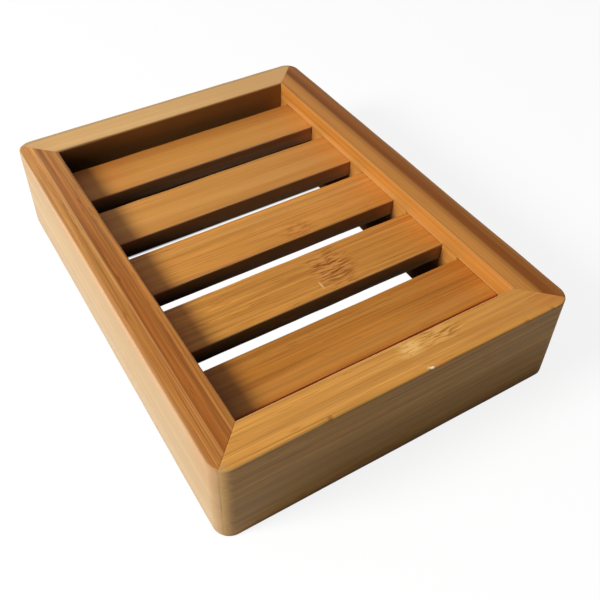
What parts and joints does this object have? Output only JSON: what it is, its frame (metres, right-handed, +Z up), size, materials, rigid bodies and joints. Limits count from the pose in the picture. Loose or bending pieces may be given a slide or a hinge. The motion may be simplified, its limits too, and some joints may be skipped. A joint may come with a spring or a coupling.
{
  "type": "soap dish",
  "caption": "Rectangular slatted soap dish: a mitred bamboo frame around a sunken deck of cross slats with drain gaps, standing on the frame's bottom edges.",
  "frame": {"origin": "middle of the footprint, on the surface that the dish stands on", "axes": "+X across the dish along the slats, +Y along the long rails, from the front rail to the back rail, +Z up out of the open top"},
  "size_m": [0.085, 0.115, 0.0235],
  "materials": {
    "front_rail_bamboo": "laminated carbonised bamboo, planed, sanded and oiled",
    "back_rail_bamboo": "laminated carbonised bamboo, planed, sanded and oiled",
    "left_rail_bamboo": "laminated carbonised bamboo, planed, sanded and oiled",
    "right_rail_bamboo": "laminated carbonised bamboo, planed, sanded and oiled",
    "slat_bamboo": "carbonised bamboo strip, planed, sanded and oiled"
  },
  "bodies": {
    "root": {"front_rail": "front_rail_bamboo", "back_rail": "back_rail_bamboo", "left_rail": "left_rail_bamboo", "right_rail": "right_rail_bamboo", "slat_1": "slat_bamboo", "slat_2": "slat_bamboo", "slat_3": "slat_bamboo", "slat_4": "slat_bamboo", "slat_5": "slat_bamboo"}
  },
  "joints": []
}
